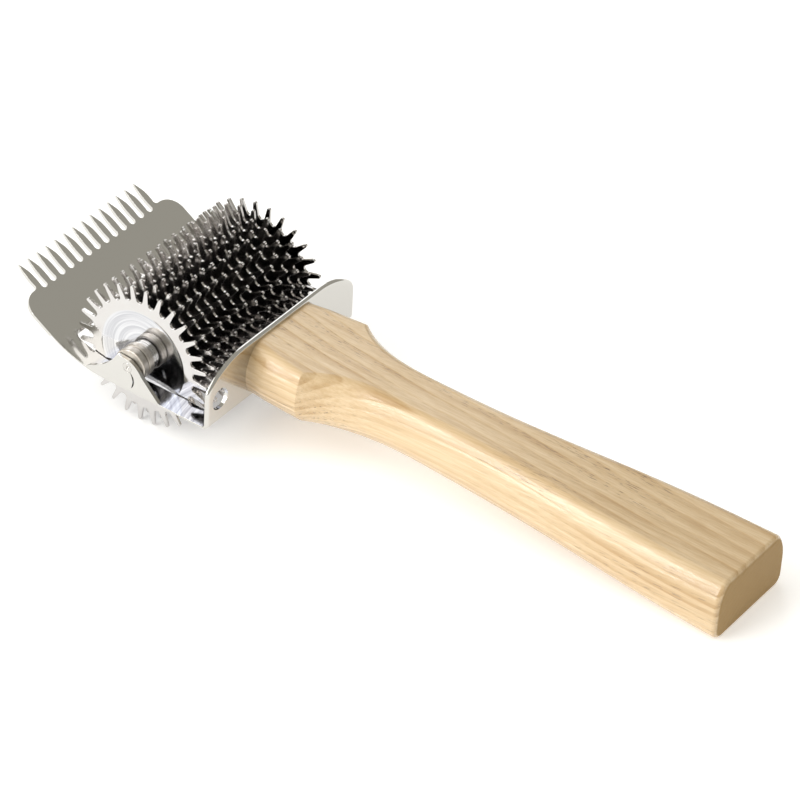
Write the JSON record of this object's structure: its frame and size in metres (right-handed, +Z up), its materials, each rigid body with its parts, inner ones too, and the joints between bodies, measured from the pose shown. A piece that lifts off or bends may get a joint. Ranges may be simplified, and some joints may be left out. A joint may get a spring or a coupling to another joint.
{
  "type": "honeycomb uncapping roller",
  "caption": "Hand tool with a spiked roller that spins in a bent stainless bracket, an uncapping fork along its front edge and a shaped wooden handle.",
  "frame": {"origin": "on the surface the tool lies on, under the middle of its bounding box", "axes": "+X along the tool from the handle's butt towards the fork's tips, +Y towards the left ear, along the roller's axle, +Z up; the tool lies on its roller and its butt"},
  "size_m": [0.3046, 0.0894, 0.06],
  "materials": {
    "polished_sheet": "polished stainless sheet",
    "disc_steel": "polished stainless, stamped edges",
    "turned_steel": "turned stainless",
    "ring_steel": "satin turned rings, warm grey",
    "screw_steel": "bright plated",
    "ash_wood": "pale ash under thin clear varnish"
  },
  "bodies": {
    "frame": {"bracket": "polished_sheet", "axle": "turned_steel", "handle": "ash_wood", "handle_screws": "screw_steel", "thrust_ring_left_inner": "ring_steel", "thrust_ring_left_outer": "ring_steel", "thrust_ring_right_inner": "ring_steel", "thrust_ring_right_outer": "ring_steel"},
    "roller": {"hub_tube": "turned_steel", "hub_collar_left": "turned_steel", "hub_collar_right": "turned_steel", "spike_disc_01": "disc_steel", "spike_disc_02": "disc_steel", "spike_disc_03": "disc_steel", "spike_disc_04": "disc_steel", "spike_disc_05": "disc_steel", "spike_disc_06": "disc_steel", "spike_disc_07": "disc_steel", "spike_disc_08": "disc_steel", "spike_disc_09": "disc_steel", "spike_disc_10": "disc_steel", "spike_disc_11": "disc_steel", "spike_disc_12": "disc_steel", "spike_disc_13": "disc_steel", "spike_disc_14": "disc_steel", "spike_disc_15": "disc_steel", "disc_spacer_01": "turned_steel", "disc_spacer_02": "turned_steel", "disc_spacer_03": "turned_steel", "disc_spacer_04": "turned_steel", "disc_spacer_05": "turned_steel", "disc_spacer_06": "turned_steel", "disc_spacer_07": "turned_steel", "disc_spacer_08": "turned_steel", "disc_spacer_09": "turned_steel", "disc_spacer_10": "turned_steel", "disc_spacer_11": "turned_steel", "disc_spacer_12": "turned_steel", "disc_spacer_13": "turned_steel", "disc_spacer_14": "turned_steel"}
  },
  "joints": [
    {"name": "roller_spin", "type": "hinge", "parent": "frame", "child": "roller", "pos_m": [0.092, 0, 0.02999], "axis": [0, 1, 0], "continuous": true}
  ]
}
